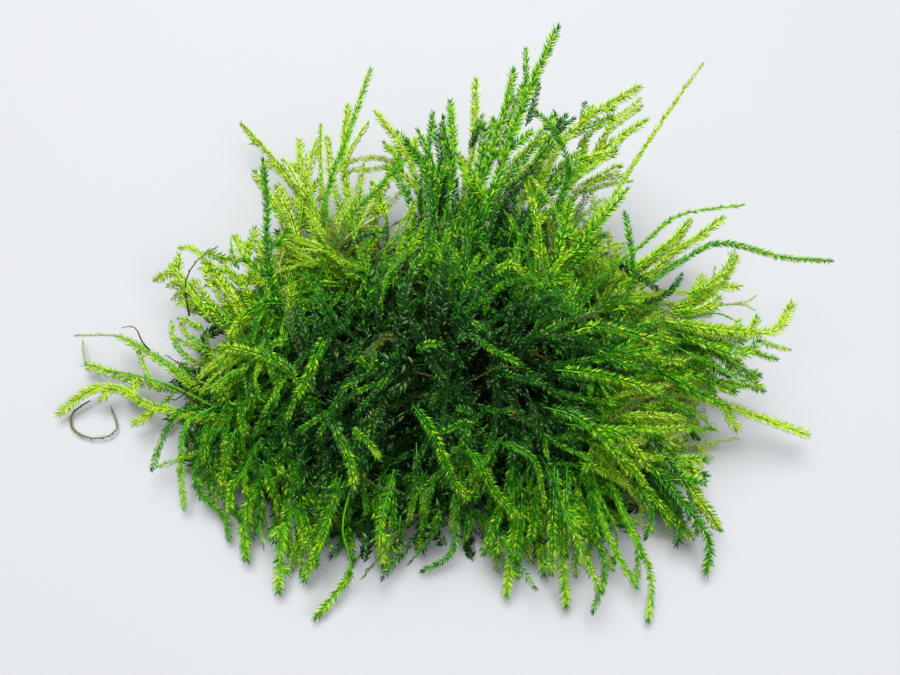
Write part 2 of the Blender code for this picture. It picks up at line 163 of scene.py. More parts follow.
# Shorter shoots that stand clear of the tangle or run over it: kind, tint, and route.
SMALL_SHOOTS = [
    # left
    ("feathery", 0.86, [(-36, -10, 8), (-40, -7, 7), (-43, -4.5, 7), (-48.5, -1, 6), (-51.5, 1, 5)]),
    ("old", 0.10, [(-45.5, -2.5, 7), (-46.5, -1.5, 8), (-48, 1, 8), (-50, 1, 8)]),
    ("feathery", 0.85, [(-39.5, -9, 6), (-45.5, -7, 4), (-50, -5.5, 3.5), (-57, -3, 2.5)]),
    ("slender", 0.88, [(-43.5, -8.5, 6), (-45, -7, 6), (-46.5, -4.5, 6), (-48, -1.5, 5.5)]),
    ("slender", 0.80, [(-40.5, -9, 7), (-42.5, -10, 5), (-45, -10.5, 3), (-50, -7.5, 2)]),
    ("old", 0.05, [(-34, -11, 9), (-36, -9.5, 11), (-38.5, -7, 11), (-42, -4.5, 10)]),
    ("old", 0.03, [(-36.5, -12, 9), (-38.5, -10.5, 9), (-42.5, -8, 7)]),
    ("old", 0.03, [(-35, -9, 10), (-37.5, -9.5, 9.5), (-40, -11, 8), (-42, -10, 7)]),
    # upper left
    ("old", 0.08, [(-39.5, 2.5, 9), (-39.5, 6, 13), (-37.5, 9, 15), (-34.5, 11.5, 15)]),
    ("feathery", 0.85, [(-38, 3, 8), (-40, 4.5, 9), (-41.5, 7.5, 10), (-41.5, 11.5, 12)]),
    ("feathery", 0.90, [(-37, 10.5, 15), (-35, 10.5, 14), (-33, 10.5, 12), (-31.5, 12.5, 10)]),
    ("feathery", 0.85, [(-28, 2, 10), (-29.5, 3.5, 12), (-31, 6.5, 13), (-36.5, 9, 14)]),
    ("short", 0.80, [(-30.5, 6.5, 12), (-29.5, 7, 13), (-29.5, 8.5, 14)]),
    ("feathery", 0.88, [(-31.5, 1, 9), (-34, 4.5, 12), (-36.5, 8, 14)]),
    ("feathery", 0.84, [(-33, 0, 9), (-36, 3.5, 12), (-38.5, 7, 12)]),
    ("feathery", 0.92, [(-29.5, -0.5, 10), (-31.5, 3, 13), (-34.5, 7, 14)]),
    ("slender", 0.80, [(-38, -5, 8), (-40, -3.5, 9), (-41.5, -1, 9), (-42.5, 2, 8)]),
    ("slender", 0.80, [(-36.5, -0.5, 10), (-39, 1, 10), (-41, 2, 9)]),
    ("slender", 0.85, [(-36.5, -2.5, 9), (-39, -1, 9), (-41, 1.5, 8)]),
    ("slender", 0.78, [(-35.5, -4, 10), (-38.5, -2.5, 9), (-41, -1, 8)]),
    ("slender", 0.75, [(-31.5, 8.5, 13), (-32.5, 10.5, 14), (-33, 13, 14)]),
    ("slender", 0.95, [(-28, 10.5, 12), (-29.5, 13, 12), (-32, 14.5, 11)]),
    # front left
    ("slender", 0.70, [(-32.5, -25.5, 3), (-30.5, -27, 3), (-29.5, -28, 2)]),
    ("feathery", 0.72, [(-33, -16, 11), (-34.5, -19, 9), (-34.5, -24, 3)]),
    ("feathery", 0.75, [(-29.5, -17, 12), (-31, -19.5, 10), (-32.5, -23, 5), (-34, -25, 3)]),
    ("feathery", 0.60, [(-26.5, -20, 12), (-26.5, -24.5, 7), (-27, -28, 4), (-28.5, -31, 2)]),
    ("feathery", 0.70, [(-25, -22, 13), (-24.5, -24.5, 9), (-23.5, -26.5, 5)]),
    ("feathery", 0.78, [(-20.5, -26.5, 7), (-21, -30.5, 4), (-22, -34.5, 1.5)]),
    ("feathery", 0.65, [(-13.5, -26, 7), (-14, -29.5, 4), (-13, -33.5, 2)]),
    ("slender", 0.50, [(-9.5, -24.5, 7), (-10, -27, 5), (-10.5, -29.5, 3), (-9.5, -31.5, 2)]),
    ("feathery", 0.66, [(-6, -28.5, 8), (-6.5, -31.5, 5), (-8.5, -34.5, 2)]),
    # front
    ("feathery", 0.66, [(-0.5, -28, 9), (-1.5, -30, 6), (-3.5, -32, 3)]),
    ("feathery", 0.64, [(4, -28, 9), (3.5, -30, 5), (3, -31.5, 2)]),
    ("slender", 0.60, [(12, -26.5, 8), (12.5, -28.5, 6), (12, -31, 3)]),
    ("feathery", 0.72, [(18, -29.5, 9), (19, -32, 6), (19, -35.5, 2.5)]),
    # front right
    ("feathery", 0.76, [(28, -23.5, 9), (30.5, -26, 7), (33.5, -28.5, 5), (36, -30.5, 3)]),
    ("feathery", 0.86, [(30, -20, 11), (33.5, -23, 10), (36.5, -26.5, 8), (39.5, -29.5, 5)]),
    ("feathery", 0.74, [(25, -24, 10), (28, -25.5, 8), (30.5, -26, 6)]),
    ("feathery", 0.70, [(28, -17.5, 13), (31, -18, 11), (33.5, -19, 9)]),
    ("slender", 0.50, [(33.5, -15, 8), (36, -15.5, 7), (38, -16.5, 6)]),
    ("feathery", 0.77, [(31, -12, 12), (34.5, -13, 11), (38, -14, 9), (40.5, -15.5, 7)]),
    # right
    ("slender", 0.92, [(46, -4.5, 15), (48.5, -5, 14), (51.5, -4.5, 12)]),
    ("slender", 0.50, [(36, -7, 14), (39, -7.5, 13), (42, -9, 12)]),
    ("stalk", 0.85, [(34.5, 3, 12), (42.5, 3.5, 11), (46.5, 4, 10), (48.5, 3.5, 9)]),
    ("stalk", 0.88, [(44, 3.5, 11), (47, 4.5, 10), (49, 6, 9)]),
    ("stalk", 0.88, [(37.5, 4.5, 12), (40, 6, 13), (43, 8.5, 13), (45.5, 10.5, 13)]),
    ("stalk", 0.80, [(41, 4.5, 13), (41, 6, 14), (41.5, 8.5, 14)]),
    ("slender", 0.50, [(29, 1, 16), (32, 2, 16), (34, 3.5, 16), (36, 6.5, 15)]),
    ("slender", 0.48, [(25.5, 7, 18), (27.5, 6, 17), (30, 5, 16), (32, 4, 15)]),
    ("feathery", 0.95, [(28, 6, 8), (31, 8.5, 8), (35.5, 12, 9), (39, 18.5, 9)]),
    ("feathery", 0.92, [(25, 10, 7), (30.5, 12, 6), (34.5, 11.5, 6), (38.5, 14, 6)]),
    ("slender", 0.88, [(26.5, 7, 6), (31.5, 7, 6), (35.5, 8.5, 6), (43, 7.5, 6)]),
    ("feathery", 0.85, [(37, 2.5, 8), (40, 3.5, 8), (43.5, 5, 8)]),
    ("old", 0.06, [(38.5, -1, 12), (39.5, -1, 12), (40.5, -1.5, 11)]),
    ("old", 0.04, [(26.5, -6.5, 20), (28.5, -6, 20), (30.5, -5.5, 19)]),
    ("slender", 0.95, [(28.5, 12.5, 8), (27.5, 14.5, 9), (26.5, 17, 10)]),
    # back right
    ("slender", 0.92, [(25, 28.5, 14), (27, 33.5, 17), (29.5, 35, 18), (32, 37.5, 18)]),
    ("slender", 0.90, [(24, 27.5, 14), (25.5, 31, 16), (29, 33.5, 18), (32, 36, 18)]),
    ("slender", 0.85, [(21, 27.5, 18), (23, 29, 20), (26.5, 31.5, 21)]),
    ("slender", 0.92, [(22, 25, 12), (25.5, 26, 12), (30, 27.5, 11)]),
    ("slender", 0.90, [(23, 24, 11), (26.5, 25.5, 11), (31, 27, 10)]),
    ("feathery", 0.92, [(10, 29, 10), (13, 31, 12), (17, 34, 13)]),
    ("feathery", 0.95, [(10, 25, 10), (12.5, 27, 12), (15, 29, 13), (17.5, 33, 13)]),
    ("feathery", 0.93, [(12.5, 22.5, 10), (14, 24, 12), (16.5, 28, 13), (17.5, 31, 13)]),
    ("slender", 0.50, [(16.5, 23, 26), (17.5, 25, 26), (19.5, 27, 26)]),
    ("slender", 0.50, [(16, 23.5, 27), (17, 25, 27), (16.5, 27.5, 27)]),
    ("slender", 0.60, [(21, 28, 22), (21.5, 30, 23), (22, 32.5, 23)]),
    ("slender", 0.85, [(17.5, 18.5, 20), (24, 23, 21), (29, 29, 21)]),
    # back
    ("slender", 0.60, [(1, 22.5, 19), (0.5, 26, 20), (0, 28, 21), (0, 30.5, 22)]),
    ("slender", 0.62, [(4, 26, 20), (5, 27.5, 22), (6, 30, 23)]),
    ("feathery", 0.72, [(8.5, 20.5, 22), (9.5, 24.5, 25), (11, 28.5, 27), (12, 31.5, 28)]),
    ("slender", 0.72, [(12.5, 28, 31), (12, 30, 32), (12, 32, 33), (12, 34, 33)]),
    ("slender", 0.58, [(12, 24, 28), (13, 26, 29), (14, 30, 30)]),
    # back left
    ("feathery", 0.95, [(-20.5, 19, 9), (-24, 25, 9), (-26, 28.5, 8), (-29, 32, 7), (-31, 34, 6)]),
    ("slender", 0.92, [(-16, 27, 13), (-15.5, 29.5, 14), (-13.5, 33, 15), (-12.5, 35, 15)]),
    ("slender", 0.95, [(-18, 27.5, 11), (-16.5, 29, 12), (-11.5, 31, 11), (-7, 31, 9)]),
    ("slender", 0.95, [(-16.5, 27, 10), (-15.5, 28.5, 11), (-12.5, 28.5, 11), (-7.5, 31.5, 9)]),
    ("slender", 0.80, [(-6.5, 25.5, 14), (-7.5, 27, 16), (-9.5, 29.5, 17)]),
    ("feathery", 0.90, [(-17.5, 18, 12), (-15, 19, 13), (-11.5, 19.5, 13), (-9, 21, 12)]),
    ("slender", 0.90, [(-16.5, 15, 13), (-14, 16, 13), (-10, 16.5, 12)]),
    ("slender", 0.50, [(-15.5, 9, 18), (-13, 10, 19), (-11, 10.5, 20), (-8.5, 11, 20)]),
    ("feathery", 0.95, [(-20, 17, 8), (-23.5, 20.5, 8), (-26.5, 23.5, 8), (-28.5, 27.5, 7)]),
    ("feathery", 0.92, [(-23, 14.5, 9), (-25, 17.5, 9), (-27, 21.5, 8), (-29, 25.5, 7)]),
    ("feathery", 0.95, [(-18.5, 15.5, 9), (-21.5, 19, 9), (-24, 23, 9)]),
    ("short", 0.25, [(-24.5, 14.5, 9), (-25, 16.5, 10), (-26, 19.5, 9)]),
    ("feathery", 0.88, [(-8.5, 12.5, 21), (-9.5, 15.5, 22), (-10.5, 17.5, 23)]),
    ("feathery", 0.93, [(-22.5, 12.5, 12), (-24.5, 18.5, 13), (-26.5, 24, 13)]),
    # over the crown
    ("feathery", 0.72, [(-20.5, -11.5, 17), (-22.5, -10, 19.5), (-29, -7, 17.5), (-32.5, -6, 15.5)]),
    ("slender", 0.72, [(-12.5, -18.5, 17), (-11, -20.5, 19.5), (-9.5, -21.5, 18.5), (-8.5, -23, 17)]),
    ("feathery", 0.68, [(-15, -17, 16.5), (-14, -20, 19), (-12.5, -23, 17), (-12, -26, 14)]),
    ("feathery", 0.68, [(-4, -17, 22), (-1.5, -20.5, 22), (0.5, -24, 18), (2, -26, 14), (4.5, -27, 12)]),
    ("feathery", 0.68, [(3, -21.5, 19), (5, -24, 18), (7, -26.5, 14.5), (10.5, -29.5, 10)]),
    ("slender", 0.74, [(1.5, -26, 10.5), (1.5, -27.5, 9), (1, -30, 4)]),
    ("slender", 0.70, [(7.5, -21, 18.5), (10, -22.5, 20), (12.5, -24, 18), (14, -28.5, 12.5)]),
    ("feathery", 0.76, [(20.5, -18.5, 17), (24.5, -20, 17.5), (28.5, -23, 12.5)]),
    ("feathery", 0.74, [(22, -21, 15.5), (25.5, -23, 15), (29, -25, 9)]),
    ("slender", 0.66, [(-3.5, -21, 18), (-3.5, -24, 17), (-4, -27, 11.5), (-5, -29, 6)]),
    ("slender", 0.68, [(-1, -24, 14), (-2, -27, 11), (-2.5, -28.5, 6)]),
    ("fine", 0.66, [(-3.5, -11, 25.5), (-2, -11.5, 29), (0, -11.5, 29)]),
    ("slender", 0.60, [(1.5, -10, 26.5), (3.5, -10.5, 29.5), (6.5, -12, 28.5), (10, -13.5, 27.5)]),
    ("feathery", 0.76, [(6.5, 1, 25), (9, 0.5, 28.5), (11, -0.5, 27.5)]),
    ("feathery", 0.72, [(16.5, -7.5, 23.5), (21, -6.5, 24), (25, -6.5, 22), (30, -7, 20)]),
    ("feathery", 0.74, [(15, -12.5, 23), (20, -13, 23), (25, -13, 20), (30.5, -13.5, 16.5)]),
    ("feathery", 0.72, [(13.5, -17, 21), (17.5, -18.5, 21.5), (22, -21, 18.5), (26, -24, 13.5)]),
    ("feathery", 0.70, [(-16.5, -6, 19.5), (-17, -9.5, 22), (-18.5, -12.5, 20), (-20, -15, 19)]),
    ("feathery", 0.72, [(-23, 1.5, 15), (-26, 0.5, 17), (-29, -1.5, 16.5), (-30.5, -5, 17)]),
]

# ---------------- the tangle

HEART = Vector((0, -5, 6))  # the middle of the tangle, mm
PARTING = (Vector((-30, -5)), Vector((8, -12)))  # the line that the short shoots lean away from
DARK_LINE = (Vector((-14, -8)), Vector((9, -12)))  # the line that the clump is darkest along
LEANING_SHOOTS = 520
TANGLED_SHOOTS = 520
BURIED_SHOOTS = 360
BOTTOM_SPACING = 2.7  # mm between the lowest shoots
OLD_STALKS = 34
OLD_STEP = 3.0  # mm between the points of an old stalk
LINE_POINTS = 9  # points along a short shoot's line
LOWEST_LINE = 0.6  # mm above the floor, for a short shoot's line
YELLOW_SHARE = 0.03  # of the short shoots, old and yellow
YELLOW = (0.19, 0.25)  # on the tint scale
DEEP = 2  # mm: short shoots that all start deeper than this are the buried ones
SIDE_SHOOT_SHARE = 0.25  # of the short shoots, with two side shoots
COMPANIONS = 3  # shorter shoots beside each long one
LONE = (  # long shoots that stand alone
    "shoot_left_upper", "shoot_left_curl", "shoot_left_long", "shoot_front_left_hook",
    "shoot_front_curl", "shoot_right_low_long", "shoot_right_thin", "shoot_right_long",
    "shoot_right_curve", "shoot_right_thin_up", "shoot_back_right_long", "shoot_back_dark",
    "shoot_back_tallest", "shoot_back_left_dark", "shoot_back_left_long", "shoot_back_left_far",
    "shoot_back_left_upright",
)
BARE_FOOT = {  # the share of a shoot that has lost its leaves
    "shoot_front_left_hook": 0.6,
    "shoot_back_left_dark": 0.5,
    "shoot_right_thin_up": 0.4,
}
# Places on the tint scale.
DARKEST_GREEN = 0.39
# The palest tint is the painted highlight at the tip of a pale leaf.
PALEST_PAINTED_HIGHLIGHT = 0.985
YOUNGEST_GREEN = 0.92
PAINTED_HIGHLIGHT_SHARES = (0.07, 0.10, 0.14, 0.18, 0.28)  # how many of a shoot's leaves carry a painted highlight: one of these
# The painted glint: a wet dark leaf's highlight, painted into its colour.
GLINT = 0.31
GLINT_BELOW = 0.60  # pale leaves with a tint under this get the painted glint colour

# The dark gaps between the tufts: x, y and reach in mm.
GAPS = [
    (4, -14.5, 4.5), (-0.5, -14, 3), (7.5, -11, 3), (-7.5, -20, 3.5), (-4, -24, 4.5),
    (17.5, -25.5, 3), (9, -21.5, 3), (-16.5, -25.5, 3.5), (-10.5, -10, 2.5), (-19.5, -21.5, 2.5),
    (17, -17, 5), (-25.5, -18.5, 4.5),
]

# Broad places that are a little darker: x, y and reach in mm, and by how much on the tint scale.
SHADED = [(27, -3, 12, 0.11), (-14, -24, 14, 0.09)]

# Where the floor shows between the long shoots, clear of short ones: x, y and reach in mm.
CLEAR = [(38, -21, 4), (-29, 10, 2.5), (-42, 7, 3)]

# The tufts that the short shoots are gathered in, and the middle of each, x and y in mm.
TUFTS = {
    "crown": (3, -6),
    "left": (-28, -6),
    "front_left": (-14, -22),
    "front_right": (16, -22),
    "right": (30, -3),
    "back_right": (14, 14),
    "back_left": (-15, 13),
}

rng = np.random.default_rng(SEED)


def unit(vectors):
    return vectors / np.maximum(np.linalg.norm(vectors, axis=-1, keepdims=True), 1e-9)


def eased(values, low, high):
    """From 0 to 1 as the values go from low to high, starting and ending gently."""
    share = np.clip((values - low) / (high - low), 0, 1)
    return share * share * (3 - 2 * share)


# ---------------- leaf and stalk templates

LEAF_DEPTH = 0.09  # of its length, from its flat face to its keel


def arrays_of(shape):
    """A bmesh's points and triangles as arrays. The bmesh is freed."""
    bmesh.ops.triangulate(shape, faces=shape.faces)
    bmesh.ops.recalc_face_normals(shape, faces=shape.faces)
    shape.verts.index_update()
    points = np.array([vert.co for vert in shape.verts])
    triangles = np.array([[vert.index for vert in face.verts] for face in shape.faces])
    shape.free()
    return points, triangles


def leaf_template():
    """A pointed leaf from z 0 to 1, one unit wide in x, folded along its middle like a boat."""
    shape = bmesh.new()
    bmesh.ops.create_cone(
        shape, cap_ends=True, cap_tris=True, segments=3, radius1=1, radius2=0, depth=1
    )
    apex = max(shape.verts, key=lambda vert: vert.co.z)
    rim = sorted((vert for vert in shape.verts if vert is not apex), key=lambda vert: vert.co.x)
    apex.co = (0, -0.5, 1)
    rim[0].co = (-0.5, 0.5, 0.4)
    rim[-1].co = (0.5, 0.5, 0.4)
    for vert in rim[1:-1]:
        vert.co = (0, -0.5, 0)
    bmesh.ops.remove_doubles(shape, verts=shape.verts, dist=0.001)
    return arrays_of(shape)


def full_leaf_template():
    """The same leaf with a rounded underside, for the shoots that stand clear of the clump."""
    shape = bmesh.new()
    bmesh.ops.create_uvsphere(shape, u_segments=3, v_segments=3, radius=1.0)
    rim = max(shape.verts, key=lambda vert: math.hypot(vert.co.x, vert.co.y)).co
    turn = -math.pi / 2 - math.atan2(rim.y, rim.x)
    bmesh.ops.rotate(shape, verts=shape.verts, matrix=Matrix.Rotation(turn, 3, "Z"))
    for vert in shape.verts:
        along = ((vert.co.z + 1) / 2) ** 1.35
        ring = Vector((vert.co.x, vert.co.y, 0)).normalized() if 0.01 < along < 0.99 else Vector()
        girth = along**0.5 * (1 - along) ** 1.2 / 0.36
        vert.co = (ring.x * girth / math.sqrt(3), ring.y * girth, along)
    return arrays_of(shape)


def stalk_template(sides, rings):
    """A closed tube of radius 1 from z 0 to 1, with that many rings of points."""
    shape = bmesh.new()
    bmesh.ops.create_cone(
        shape, cap_ends=True, cap_tris=False, segments=sides, radius1=1, radius2=1, depth=1
    )
    bmesh.ops.translate(shape, verts=shape.verts, vec=(0, 0, 0.5))
    for ring in range(1, rings - 1):
        whole = [*shape.verts, *shape.edges, *shape.faces]
        height = ring / (rings - 1)
        bmesh.ops.bisect_plane(shape, geom=whole, plane_co=(0, 0, height), plane_no=(0, 0, 1))
    return arrays_of(shape)


FINE = {"leaf": full_leaf_template(), "stalk": stalk_template(6, SAMPLES * 2 - 1)}
PLAIN = {"leaf": leaf_template(), "stalk": stalk_template(3, 8)}

# ---------------- routes


def smooth_route(knots):
    """Points on a smooth curve that passes through the route's own points."""
    knots = np.array(knots, float)
    knots = np.vstack([2 * knots[0] - knots[1], knots, 2 * knots[-1] - knots[-2]])
    t = np.linspace(0, 1, KNOT_STEPS, endpoint=False)[:, None]
    stretches = []
    for before, start, end, after in zip(knots, knots[1:], knots[2:], knots[3:]):
        stretches.append(
            (2 * t**3 - 3 * t**2 + 1) * start
            + (t**3 - 2 * t**2 + t) * (end - before) / 2
            + (3 * t**2 - 2 * t**3) * end
            + (t**3 - t**2) * (after - start) / 2
        )
    return np.vstack([*stretches, knots[-2:-1]])


def spaced(route):
    """The route with SAMPLES points at equal distances."""
    route = np.array(route, float)
    steps = np.linalg.norm(np.diff(route, axis=0), axis=1)
    run = np.concatenate([[0], np.cumsum(steps)])
    wanted = np.linspace(0, run[-1], SAMPLES)
    return np.stack([np.interp(wanted, run, route[:, axis]) for axis in range(3)], axis=1)


def length_of(line):
    return float(np.linalg.norm(np.diff(line, axis=0), axis=1).sum())


def shoot(line, kind, tint, facing=(0, 0, 1), bare=0.0, detail=PLAIN, young=0.24):
    """One shoot: its line, how it is leafed, and how much paler it is at its tip than its root, partly as
    younger growth and partly as painted shade on the root.
    """
    line = spaced(line)
    line[:, 2] = np.maximum(line[:, 2], FLOOR_CLEARANCE)
    return {
        "line": line,
        "kind": kind,
        "tint": tint,
        "facing": np.array(facing, float),
        "bare": bare,
        "detail": detail,
        "young": young + rng.normal(0, 0.08),
        "pale": rng.choice(PAINTED_HIGHLIGHT_SHARES),
        "twist": rng.normal(0, 0.4),
    }


def side_shoots(parent, spots, longest):
    """Short shoots that leave the parent's stalk left and right by turns, in its own plane."""
    line = parent["line"]
    grown = []
    for number, spot in enumerate(spots):
        index = int(spot * (SAMPLES - 1))
        along = unit(line[index + 1] - line[index])
        side = unit(np.cross(along, parent["facing"])) * (1 if number % 2 else -1)
        angle = math.radians(rng.uniform(38, 60))
        leave = math.cos(angle) * along + math.sin(angle) * side + rng.normal(0, 0.12, 3)
        reach = longest * (1.1 - spot) * rng.uniform(0.7, 1.2)
        t = np.linspace(0, 1, 5)[:, None]
        bend = along * 0.25 + np.array([0, 0, -0.08])
        route = line[index] + reach * (t * unit(leave) + t * t * bend)
        grown.append(
            shoot(route, parent["kind"], parent["tint"] + 0.03, parent["facing"],
                  detail=parent["detail"])
        )
    return grown


# ---------------- leafing and meshing


def frames_along(lines, facing, twist):
    """At each point of each line: along it, across its flat side, and out of its flat side."""
    along = unit(np.gradient(lines, axis=1))
    flat = facing[:, None, :] + np.array([0.013, 0.007, 0.0])
    flat = unit(flat - (flat * along).sum(-1, keepdims=True) * along)
    side = np.cross(along, flat)
    angle = (twist[:, None] * np.linspace(-0.3, 1.0, SAMPLES))[..., None]
    return (
        along,
        side * np.cos(angle) - flat * np.sin(angle),
        flat * np.cos(angle) + side * np.sin(angle),
    )


def between(values, which, place):
    """Values of shoot `which` at `place` from 0 to 1 along it."""
    spot = np.clip(place, 0, 1) * (SAMPLES - 1)
    low = np.minimum(spot.astype(int), SAMPLES - 2)
    share = (spot - low)[..., None]
    return values[which, low] * (1 - share) + values[which, low + 1] * share


def leaf_rows(number, grown):
    """A row for each leaf: shoot, place, azimuth, angle, length, roll, tint, width, and whether it carries
    a painted highlight.
    """
    kind = KINDS[grown["kind"]]
    bare = grown["bare"]
    length = length_of(grown["line"])
    count = max(3, int((1 - bare) * length / kind["pitch"]))
    extra = int(count * kind["extra"])
    ranks = (np.arange(count) + 0.25) / count
    place = np.concatenate([ranks, ranks + 0.5 / count, rng.uniform(0.03, 1, extra)])
    azimuth = np.concatenate([
        np.zeros(count),
        np.full(count, math.pi),
        rng.choice([-1, 1], extra) * math.pi / 2,
    ])
    azimuth += rng.normal(0, 0.25, len(azimuth))
    place = bare + (1 - bare) * np.minimum(place + rng.normal(0, 0.15 / count, len(place)), 1)
    closing = 1 - eased((1 - place) * length, 0.0, 0.9)
    opening = eased(place, 0.0, 0.15)
    angle = np.radians(kind["spread"]) * (1 - 0.6 * closing) * (1.1 - 0.1 * opening)
    angle[2 * count:] *= 0.45
    angle += rng.normal(0, 0.09, len(place)) * (1 - 0.7 * closing)
    size = kind["leaf"] * (0.75 + 0.25 * opening - 0.2 * closing)
    size *= rng.uniform(0.85, 1.1, len(place))
    # Paler towards the tip: younger growth, and painted shade on the root.
    tint = grown["tint"] + grown["young"] * (place - 0.6) + rng.normal(0, 0.08, len(place))
    tint -= 0.20 * (1 - eased((1 - place) * length, 0.2, 1.1))
    tint = np.clip(tint, min(grown["tint"], DARKEST_GREEN), YOUNGEST_GREEN)
    pale = rng.uniform(size=len(place)) < grown["pale"]
    return np.column_stack([
        np.full(len(place), number), place, azimuth, angle, size,
        rng.normal(0, 0.45, len(place)), tint, np.full(len(place), kind["width"]), pale,
    ])


def stacked(shoots, part):
    """One part of every shoot, such as its line, as an array."""
    return np.array([grown[part] for grown in shoots])


def copies(spots, triangles, u, v):
    """Copies of a template at these spots, as points, triangles and map places."""
    firsts = spots.shape[1] * np.arange(len(spots))[:, None, None]
    mesh = (triangles[None] + firsts).reshape(-1, 3)
    return spots.reshape(-1, 3), mesh, np.stack([u, v], axis=-1).reshape(-1, 2)


def leaves_on(shoots, axes, template):
    """Every leaf of the shoots as points, triangles and map places."""
    lines = stacked(shoots, "line")
    rows = np.vstack([leaf_rows(number, grown) for number, grown in enumerate(shoots)])
    which = rows[:, 0].astype(int)
    columns = (column[:, None] for column in rows[:, 2:].T)
    azimuth, angle, size, roll, tint, width, pale = columns
    foot = between(lines, which, rows[:, 1])
    along, side, flat = (unit(between(axis, which, rows[:, 1])) for axis in axes)
    out = side * np.cos(azimuth) + flat * np.sin(azimuth)
    leaf = along * np.cos(angle) + out * np.sin(angle)
    blade = unit(np.cross(leaf, flat + 0.001 * out))
    face = np.cross(blade, leaf)
    blade, face = (
        blade * np.cos(roll) + face * np.sin(roll),
        face * np.cos(roll) - blade * np.sin(roll),
    )
    points, triangles = template
    x, y, z = (points[None, :, axis, None] for axis in range(3))
    size = size[:, None]
    spot = (
        foot[:, None]
        + size * width[:, None] * x * blade[:, None]
        + size * LEAF_DEPTH * y * face[:, None]
        + size * z * leaf[:, None]
        + size * 0.2 * z * z * along[:, None]
    )
    sunk = np.maximum(LEAF_CLEARANCE - spot[..., 2].min(axis=1), 0)
    spot[..., 2] += sunk[:, None]
    u = np.broadcast_to(0.14 + 0.84 * points[None, :, 2], (len(rows), len(points)))
    # Painted highlights: pale leaves are painted paler towards the tip, and on dark shoots whole in the
    # painted glint colour; every leaf's edges are painted a little lighter than its middle.
    paler = tint + pale * (PALEST_PAINTED_HIGHLIGHT - tint) * points[None, :, 2] + 0.06 * abs(points[None, :, 0])
    tint = np.where((pale > 0) & (tint < GLINT_BELOW), GLINT, paler)
    v = np.clip(tint, 0.01, 0.99) + 0.008 * points[None, :, 0]
    return copies(spot, triangles, u, v)


def stalks_of(shoots, axes, template):
    """The stalk of every shoot as points, triangles and map places."""
    lines = stacked(shoots, "line")
    points, triangles = template
    count = len(shoots)
    which = np.repeat(np.arange(count), len(points)).reshape(count, -1)
    place = np.broadcast_to(points[None, :, 2], which.shape)
    centre = between(lines, which, place)
    side, flat = (unit(between(axis, which, place)) for axis in axes[1:])
    root = np.array([KINDS[grown["kind"]]["stalk"] for grown in shoots])[:, None]
    radius = (root * (1 - 0.62 * place))[..., None]
    spot = centre + radius * (points[None, :, :1] * side + points[None, :, 1:2] * flat)
    tint = stacked(shoots, "tint")[:, None]
    u = 0.03 + 0.05 * place + 0.02 * points[None, :, 0]
    v = np.clip(tint - 0.05 + 0.1 * place, 0.01, 0.99) + 0.008 * points[None, :, 1]
    return copies(spot, triangles, u, v)


def joined(parts):
    """Several sets of points, triangles and map places as one."""
    firsts = np.cumsum([0, *(len(part[0]) for part in parts[:-1])])
    return (
        np.vstack([part[0] for part in parts]),
        np.vstack([part[1] + first for part, first in zip(parts, firsts)]),
        np.vstack([part[2] for part in parts]),
    )


def make_piece(name, shoots, material):
    """One mesh of all these shoots, with the map that its material reads."""
    parts = []
    for detail in (FINE, PLAIN):
        same = [grown for grown in shoots if grown["detail"] is detail]
        if not same:
            continue
        axes = frames_along(*(stacked(same, part) for part in ("line", "facing", "twist")))
        parts.append(stalks_of(same, axes, detail["stalk"]))
        parts.append(leaves_on(same, axes, detail["leaf"]))
    points, triangles, places = joined(parts)
    mesh = bpy.data.meshes.new(name)
    mesh.vertices.add(len(points))
    mesh.vertices.foreach_set("co", (points * MM).ravel())
    mesh.loops.add(triangles.size)
    mesh.loops.foreach_set("vertex_index", triangles.ravel())
    mesh.polygons.add(len(triangles))
    mesh.polygons.foreach_set("loop_start", np.arange(0, triangles.size, 3))
    mesh.update(calc_edges=True)
    layer = mesh.uv_layers.new(name=MAP)
    layer.data.foreach_set("uv", places[triangles.ravel()].ravel())
    mesh.materials.append(material)
    piece = bpy.data.objects.new(name, mesh)
    bpy.context.scene.collection.objects.link(piece)
    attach(piece, "root")
    return piece


# ---------------- materials

MAP = "OFBake"  # across: 0.03 to 0.1 stalk, then a leaf from base to tip. Up: the tint scale

# The tint scale: brown, old yellow, a painted glint standing in for the wet highlight on a dark leaf, then
# greens from old growth to new, ending in a whitish painted highlight.
TINT_SCALE = [
    (0.00, (0.020, 0.012, 0.005)),
    (0.12, (0.150, 0.120, 0.010)),
    (0.24, (0.190, 0.250, 0.010)),
    (0.31, (0.200, 0.460, 0.130)),
    (0.38, (0.003, 0.022, 0.001)),
    (0.48, (0.010, 0.120, 0.002)),
    (0.58, (0.034, 0.300, 0.002)),
    (0.70, (0.115, 0.580, 0.003)),
    (0.84, (0.400, 0.780, 0.008)),
    (0.95, (0.600, 0.840, 0.045)),
    (1.00, (0.740, 0.900, 0.600)),
]


WATER_IOR = 1.33

# How light a shoot is across the map: its stalk, then a leaf from its base to its tip. The dark leaf base
# is painted shade from the leaves around it, and the light tip is painted light through the leaf.
LEAF_SHADING_SCALE = [(0, 0.5), (0.11, 0.6), (0.16, 0.28), (1, 1.0)]


def colour_ramp(nodes, scale):
    """A ramp node with these stops, each a place and a colour."""
    ramp = nodes.new("ShaderNodeValToRGB")
    stops = ramp.color_ramp.elements
    for place, _ in scale[1:-1]:
        stops.new(place)
    for stop, (place, colour) in zip(stops, scale):
        stop.position = place
        stop.color = (*colour, 1)
    return ramp


def set_inputs(node, **values):
    """Set a node's inputs by name, with _ for each space."""
    for name, value in values.items():
        node.inputs[name.replace("_", " ")].default_value = value


